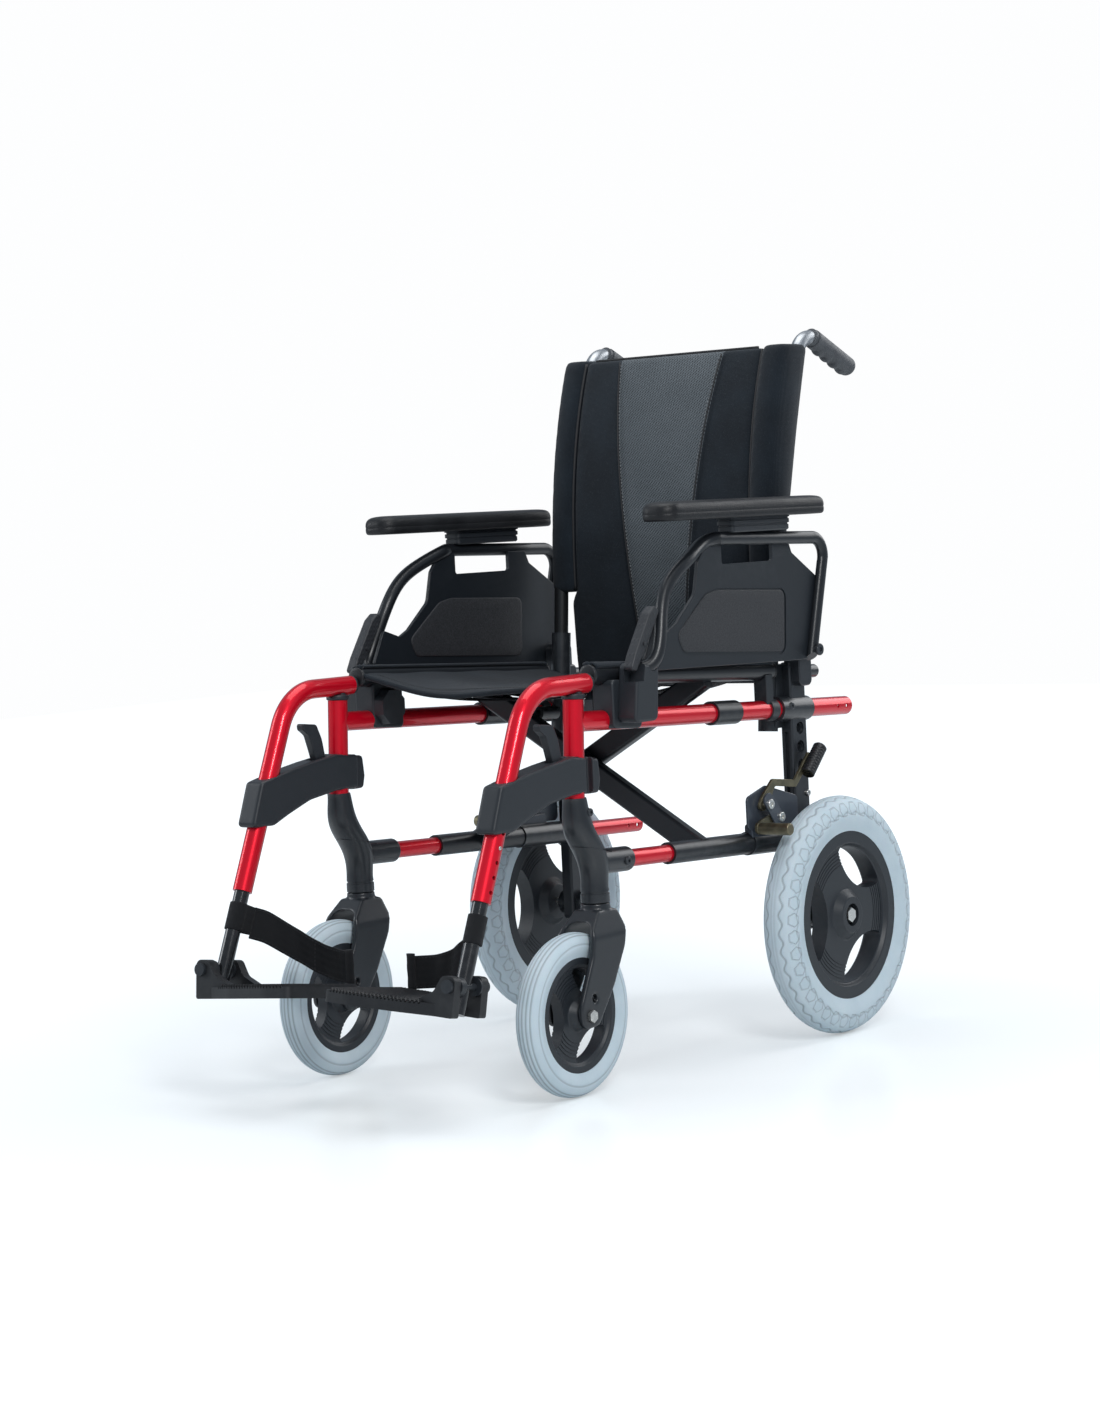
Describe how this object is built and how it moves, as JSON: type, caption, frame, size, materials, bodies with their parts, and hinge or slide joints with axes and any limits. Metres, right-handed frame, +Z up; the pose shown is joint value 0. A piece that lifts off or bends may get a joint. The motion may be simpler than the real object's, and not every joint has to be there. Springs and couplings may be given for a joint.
{
  "type": "manual wheelchair",
  "caption": "Folding attendant-pushed wheelchair with a scissor cross frame, swing-away footrests, flip-back armrests, sling seat, padded back, casters and small rear wheels.",
  "frame": {"origin": "on the floor under the middle of the footprint", "axes": "+Z up, +Y towards the rear (the push grips), +X towards the occupant's left"},
  "size_m": [0.5402, 0.9827, 0.9386],
  "materials": {
    "frame_paint": "gloss candy red paint",
    "casting": "fine black powder coat on a casting",
    "black_coat": "satin black powder coat",
    "grip_rubber": "matt dark grey moulded grip",
    "dark_plastic": "dark grey moulded nylon",
    "wheel_plastic": "black composite wheel",
    "grey_tyre": "light blue-grey solid polyurethane",
    "zinc": "bright zinc plate",
    "plate_plastic": "black ribbed plastic",
    "webbing": "black woven webbing",
    "pad_skin": "black grained polyurethane skin",
    "panel_plastic": "black panel with a fine grain",
    "brake_plate": "blue-grey coated plate",
    "brake_steel": "yellow-passivated steel bar",
    "black_fabric": "padded black nylon"
  },
  "bodies": {
    "right_frame": {"right_frame_tubes": "frame_paint", "right_caster_housing": "casting", "right_rear_post": "casting", "right_back_post": "black_coat", "right_push_grip": "grip_rubber", "right_rail_cradles": "dark_plastic", "right_brake_bracket": "brake_plate", "right_frame_bolts": "zinc", "back_upholstery": "black_fabric"},
    "left_frame": {"left_frame_tubes": "frame_paint", "left_caster_housing": "casting", "left_rear_post": "casting", "left_back_post": "black_coat", "left_push_grip": "grip_rubber", "left_rail_cradles": "dark_plastic", "left_brake_bracket": "brake_plate", "left_frame_bolts": "zinc"},
    "cross_a": {"cross_tube_a": "black_coat", "seat_sling": "black_fabric"},
    "cross_b": {"cross_tube_b": "black_coat"},
    "left_strut": {"left_folding_strut": "black_coat"},
    "left_rear_wheel": {"left_rear_wheel": "wheel_plastic", "left_rear_tyre": "grey_tyre"},
    "left_caster_swivel": {"left_caster_fork": "black_coat", "left_caster_axle": "zinc"},
    "left_caster_wheel": {"left_caster_wheel": "wheel_plastic", "left_caster_tyre": "grey_tyre"},
    "left_hanger": {"left_hanger_tube": "frame_paint", "left_hanger_latch": "dark_plastic"},
    "left_release_lever": {"left_release_lever": "dark_plastic"},
    "left_footrest": {"left_footrest_tube": "black_coat"},
    "left_foot_pivot": {"left_footplate_pin": "zinc"},
    "left_footplate": {"left_footplate": "plate_plastic", "left_heel_strap": "webbing"},
    "left_armrest": {"left_armrest_tube": "black_coat", "left_arm_pad": "pad_skin", "left_side_panel": "panel_plastic"},
    "left_armrest_lever": {"left_armrest_lever": "dark_plastic"},
    "left_brake_lever": {"left_brake_lever": "brake_steel"},
    "left_brake_shoe": {"left_brake_shoe": "brake_steel"},
    "right_strut": {"right_folding_strut": "black_coat"},
    "right_rear_wheel": {"right_rear_wheel": "wheel_plastic", "right_rear_tyre": "grey_tyre"},
    "right_caster_swivel": {"right_caster_fork": "black_coat", "right_caster_axle": "zinc"},
    "right_caster_wheel": {"right_caster_wheel": "wheel_plastic", "right_caster_tyre": "grey_tyre"},
    "right_hanger": {"right_hanger_tube": "frame_paint", "right_hanger_latch": "dark_plastic"},
    "right_release_lever": {"right_release_lever": "dark_plastic"},
    "right_footrest": {"right_footrest_tube": "black_coat"},
    "right_foot_pivot": {"right_footplate_pin": "zinc"},
    "right_footplate": {"right_footplate": "plate_plastic", "right_heel_strap": "webbing"},
    "right_armrest": {"right_armrest_tube": "black_coat", "right_arm_pad": "pad_skin", "right_side_panel": "panel_plastic"},
    "right_armrest_lever": {"right_armrest_lever": "dark_plastic"},
    "right_brake_lever": {"right_brake_lever": "brake_steel"},
    "right_brake_shoe": {"right_brake_shoe": "brake_steel"}
  },
  "joints": [
    {"name": "fold", "type": "hinge", "parent": "right_frame", "child": "cross_a", "pos_m": [-0.191, 0.0698, 0.2686], "axis": [0, -0.999, 0.0436], "range_deg": [0, 41], "deforming": ["seat_sling", "back_upholstery"]},
    {"name": "cross_pivot", "type": "hinge", "parent": "cross_a", "child": "cross_b", "pos_m": [0, 0.07463, 0.37929], "axis": [0, -0.999, 0.0436], "range_deg": [-82.5, 0]},
    {"name": "left_frame_hinge", "type": "hinge", "parent": "cross_b", "child": "left_frame", "pos_m": [0.191, 0.0698, 0.2686], "axis": [0, -0.999, 0.0436], "range_deg": [0, 41.5]},
    {"name": "left_strut_pivot", "type": "hinge", "parent": "left_frame", "child": "left_strut", "pos_m": [0.191, 0.12029, 0.43916], "axis": [0, 0.999, -0.0436], "range_deg": [0, 77]},
    {"name": "left_rear_wheel_spin", "type": "hinge", "parent": "left_frame", "child": "left_rear_wheel", "pos_m": [0.246, 0.2898, 0.1575], "axis": [1, 0, 0], "continuous": true},
    {"name": "left_caster_swivel_turn", "type": "hinge", "parent": "left_frame", "child": "left_caster_swivel", "pos_m": [0.191, -0.1672, 0.25], "axis": [0, 0, 1], "continuous": true},
    {"name": "left_caster_wheel_spin", "type": "hinge", "parent": "left_caster_swivel", "child": "left_caster_wheel", "pos_m": [0.191, -0.2232, 0.1], "axis": [1, 0, 0], "continuous": true},
    {"name": "left_hanger_swing", "type": "hinge", "parent": "left_frame", "child": "left_hanger", "pos_m": [0.191, -0.1922, 0.48], "axis": [0, 0.0579, 0.9983], "range_deg": [0, 90]},
    {"name": "left_release_lever_press", "type": "hinge", "parent": "left_hanger", "child": "left_release_lever", "pos_m": [0.191, -0.2352, 0.392], "axis": [1, 0, 0], "range_deg": [0, 12]},
    {"name": "left_footrest_slide", "type": "slide", "parent": "left_hanger", "child": "left_footrest", "axis": [0, -0.3953, -0.9186], "range_m": [-0.015, 0.045]},
    {"name": "left_foot_pivot_turn", "type": "hinge", "parent": "left_footrest", "child": "left_foot_pivot", "pos_m": [0.197, -0.4262, 0.165], "axis": [0, 0.989, -0.1478], "range_deg": [0, 86.2]},
    {"name": "left_footplate_flip", "type": "hinge", "parent": "left_foot_pivot", "child": "left_footplate", "pos_m": [0.197, -0.4262, 0.165], "axis": [0, -0.989, 0.1478], "range_deg": [-86, 0]},
    {"name": "left_armrest_flip", "type": "hinge", "parent": "left_frame", "child": "left_armrest", "pos_m": [0.226, 0.2858, 0.51], "axis": [-1, 0, 0], "range_deg": [0, 100]},
    {"name": "left_armrest_lever_press", "type": "hinge", "parent": "left_armrest", "child": "left_armrest_lever", "pos_m": [0.226, -0.0992, 0.541], "axis": [1, 0, 0], "range_deg": [0, 6]},
    {"name": "left_brake_lever_turn", "type": "hinge", "parent": "left_frame", "child": "left_brake_lever", "pos_m": [0.2086, 0.1798, 0.315], "axis": [1, 0, 0], "range_deg": [0, 60]},
    {"name": "left_brake_shoe_turn", "type": "hinge", "parent": "left_frame", "child": "left_brake_shoe", "pos_m": [0.2134, 0.2038, 0.296], "axis": [1, 0, 0], "range_deg": [0, 20.1]},
    {"name": "right_strut_pivot", "type": "hinge", "parent": "right_frame", "child": "right_strut", "pos_m": [-0.191, 0.12029, 0.43916], "axis": [0, -0.999, 0.0436], "range_deg": [0, 77]},
    {"name": "right_rear_wheel_spin", "type": "hinge", "parent": "right_frame", "child": "right_rear_wheel", "pos_m": [-0.246, 0.2898, 0.1575], "axis": [1, 0, 0], "continuous": true},
    {"name": "right_caster_swivel_turn", "type": "hinge", "parent": "right_frame", "child": "right_caster_swivel", "pos_m": [-0.191, -0.1672, 0.25], "axis": [0, 0, 1], "continuous": true},
    {"name": "right_caster_wheel_spin", "type": "hinge", "parent": "right_caster_swivel", "child": "right_caster_wheel", "pos_m": [-0.191, -0.2232, 0.1], "axis": [1, 0, 0], "continuous": true},
    {"name": "right_hanger_swing", "type": "hinge", "parent": "right_frame", "child": "right_hanger", "pos_m": [-0.191, -0.1922, 0.48], "axis": [0, -0.0579, -0.9983], "range_deg": [0, 90]},
    {"name": "right_release_lever_press", "type": "hinge", "parent": "right_hanger", "child": "right_release_lever", "pos_m": [-0.191, -0.2352, 0.392], "axis": [1, 0, 0], "range_deg": [0, 12]},
    {"name": "right_footrest_slide", "type": "slide", "parent": "right_hanger", "child": "right_footrest", "axis": [0, -0.3953, -0.9186], "range_m": [-0.015, 0.045]},
    {"name": "right_foot_pivot_turn", "type": "hinge", "parent": "right_footrest", "child": "right_foot_pivot", "pos_m": [-0.197, -0.4262, 0.165], "axis": [0, -0.989, 0.1478], "range_deg": [0, 86.2]},
    {"name": "right_footplate_flip", "type": "hinge", "parent": "right_foot_pivot", "child": "right_footplate", "pos_m": [-0.197, -0.4262, 0.165], "axis": [0, 0.989, -0.1478], "range_deg": [-86, 0]},
    {"name": "right_armrest_flip", "type": "hinge", "parent": "right_frame", "child": "right_armrest", "pos_m": [-0.226, 0.2858, 0.51], "axis": [-1, 0, 0], "range_deg": [0, 100]},
    {"name": "right_armrest_lever_press", "type": "hinge", "parent": "right_armrest", "child": "right_armrest_lever", "pos_m": [-0.226, -0.0992, 0.541], "axis": [1, 0, 0], "range_deg": [0, 6]},
    {"name": "right_brake_lever_turn", "type": "hinge", "parent": "right_frame", "child": "right_brake_lever", "pos_m": [-0.2086, 0.1798, 0.315], "axis": [1, 0, 0], "range_deg": [0, 60]},
    {"name": "right_brake_shoe_turn", "type": "hinge", "parent": "right_frame", "child": "right_brake_shoe", "pos_m": [-0.2134, 0.2038, 0.296], "axis": [1, 0, 0], "range_deg": [0, 20.1]}
  ],
  "couplings": [
    {"joint": "cross_pivot", "follows": "fold", "ratio": -2},
    {"joint": "left_frame_hinge", "follows": "fold", "ratio": 1},
    {"joint": "left_strut_pivot", "follows": "fold", "ratio": 1.87},
    {"joint": "left_foot_pivot_turn", "follows": "fold", "ratio": 2.1},
    {"joint": "left_brake_shoe_turn", "follows": "left_brake_lever_turn", "ratio": 0.3333},
    {"joint": "right_strut_pivot", "follows": "fold", "ratio": 1.87},
    {"joint": "right_foot_pivot_turn", "follows": "fold", "ratio": 2.1},
    {"joint": "right_brake_shoe_turn", "follows": "right_brake_lever_turn", "ratio": 0.3333}
  ]
}
